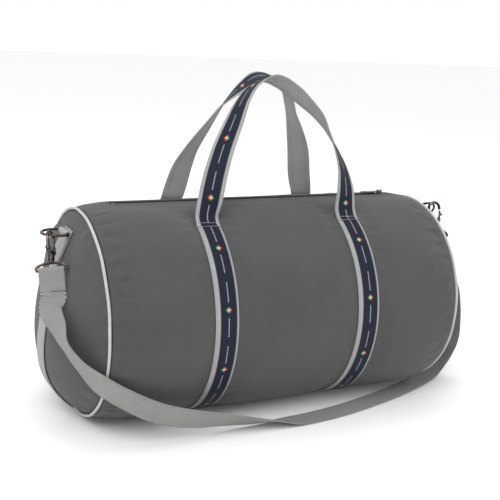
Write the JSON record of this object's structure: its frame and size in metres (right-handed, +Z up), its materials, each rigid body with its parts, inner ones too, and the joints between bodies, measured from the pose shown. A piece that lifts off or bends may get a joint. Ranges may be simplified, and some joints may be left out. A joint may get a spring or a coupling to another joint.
{
  "type": "barrel duffel bag",
  "caption": "Soft barrel bag of canvas with a zip top, web carrying handles with woven ribbon, end D-rings and a clip-on shoulder strap",
  "frame": {"origin": "centre of the base: middle of the bag's length, under the barrel's axis, on the floor it rests on", "axes": "+X along the barrel to its right end, as seen from the front; +Y from the front to the rear; +Z up to the zip"},
  "size_m": [0.647, 0.2922, 0.4522],
  "materials": {
    "canvas": "charcoal canvas, matt",
    "piping": "pale grey corded piping",
    "tape": "dark woven tape",
    "coil": "black coil teeth",
    "ribbon": "navy woven ribbon, slightly glossy",
    "webbing": "light grey cotton webbing",
    "metal": "dark nickel plate",
    "spring": "bright spring wire"
  },
  "bodies": {
    "barrel": {"body_panel": "canvas", "left_end_panel": "canvas", "right_end_panel": "canvas", "left_piping": "piping", "right_piping": "piping", "left_seam_binding": "tape", "right_seam_binding": "tape", "left_band": "webbing", "left_band_ribbon": "ribbon", "right_band": "webbing", "right_band_ribbon": "ribbon", "zipper_tape_front": "tape", "zipper_tape_rear": "tape", "zipper_coil_front": "coil", "zipper_coil_rear": "coil", "zipper_left_stop": "metal", "zipper_right_stop": "metal", "left_end_strap": "webbing", "left_d_ring_tab": "webbing", "right_end_strap": "webbing", "right_d_ring_tab": "webbing", "shoulder_strap": "webbing"},
    "front_handle_body": {"front_handle": "webbing", "front_handle_ribbon": "ribbon"},
    "rear_handle_body": {"rear_handle": "webbing", "rear_handle_ribbon": "ribbon"},
    "slider": {"zipper_slider": "metal"},
    "pull": {"zipper_pull": "metal"},
    "left_ring": {"left_d_ring": "metal"},
    "right_ring": {"right_d_ring": "metal"},
    "left_eye": {"left_swivel_eye": "metal", "left_strap_end": "webbing"},
    "right_eye": {"right_swivel_eye": "metal", "right_strap_end": "webbing"},
    "left_hook": {"left_hook_body": "metal", "left_gate_pin": "metal", "left_gate_spring": "spring"},
    "right_hook": {"right_hook_body": "metal", "right_gate_pin": "metal", "right_gate_spring": "spring"},
    "left_gate": {"left_hook_gate": "metal"},
    "right_gate": {"right_hook_gate": "metal"}
  },
  "joints": [
    {"name": "front_handle_fold", "type": "hinge", "parent": "barrel", "child": "front_handle_body", "pos_m": [0, -0.0683, 0.2634], "axis": [1, 0, 0], "range_deg": [0, 100]},
    {"name": "rear_handle_fold", "type": "hinge", "parent": "barrel", "child": "rear_handle_body", "pos_m": [0, 0.0683, 0.2634], "axis": [-1, 0, 0], "range_deg": [0, 100]},
    {"name": "zip_slide", "type": "slide", "parent": "barrel", "child": "slider", "axis": [1, 0, 0], "range_m": [-0.398, 0]},
    {"name": "zip_pull_swing", "type": "hinge", "parent": "slider", "child": "pull", "pos_m": [0.1998, 0, 0.2844], "axis": [0, 1, 0], "range_deg": [0, 140]},
    {"name": "left_d_ring_swing", "type": "hinge", "parent": "barrel", "child": "left_ring", "pos_m": [-0.272, 0, 0.246], "axis": [0, 1, 0], "range_deg": [-12, 9]},
    {"name": "right_d_ring_swing", "type": "hinge", "parent": "barrel", "child": "right_ring", "pos_m": [0.272, 0, 0.246], "axis": [0, -1, 0], "range_deg": [-12, 12]},
    {"name": "left_eye_lift", "type": "slide", "parent": "barrel", "child": "left_eye", "axis": [0, 0, 1], "range_m": [-0.0047, 0.0047], "deforming": ["shoulder_strap"]},
    {"name": "right_eye_lift", "type": "slide", "parent": "barrel", "child": "right_eye", "axis": [-0.5739, 0, 0.8189], "range_m": [-0.0058, 0.0058], "deforming": ["shoulder_strap"]},
    {"name": "left_hook_swivel", "type": "hinge", "parent": "left_eye", "child": "left_hook", "pos_m": [-0.2938, -0.0146, 0.246], "axis": [0.1258, 0.5842, 0.8018], "range_deg": [-15, 15]},
    {"name": "left_gate_open", "type": "hinge", "parent": "left_hook", "child": "left_gate", "pos_m": [-0.29277, -0.0234, 0.22668], "axis": [0.7547, -0.581, 0.3048], "range_deg": [0, 25], "stiffness_Nm_per_rad": 0.02, "springref_deg": -17.19},
    {"name": "right_hook_swivel", "type": "hinge", "parent": "right_eye", "child": "right_hook", "pos_m": [0.294, -0.00915, 0.2614], "axis": [-0.1004, 0.1505, 0.9835], "range_deg": [-15, 15]},
    {"name": "right_gate_open", "type": "hinge", "parent": "right_hook", "child": "right_gate", "pos_m": [0.30108, -0.01456, 0.24211], "axis": [-0.431, -0.8975, 0.0934], "range_deg": [0, 25], "stiffness_Nm_per_rad": 0.02, "springref_deg": -17.19}
  ],
  "couplings": [
    {"joint": "left_eye_lift", "follows": "left_d_ring_swing", "m_per_rad": 0.0218},
    {"joint": "right_eye_lift", "follows": "right_d_ring_swing", "m_per_rad": 0.0269}
  ]
}
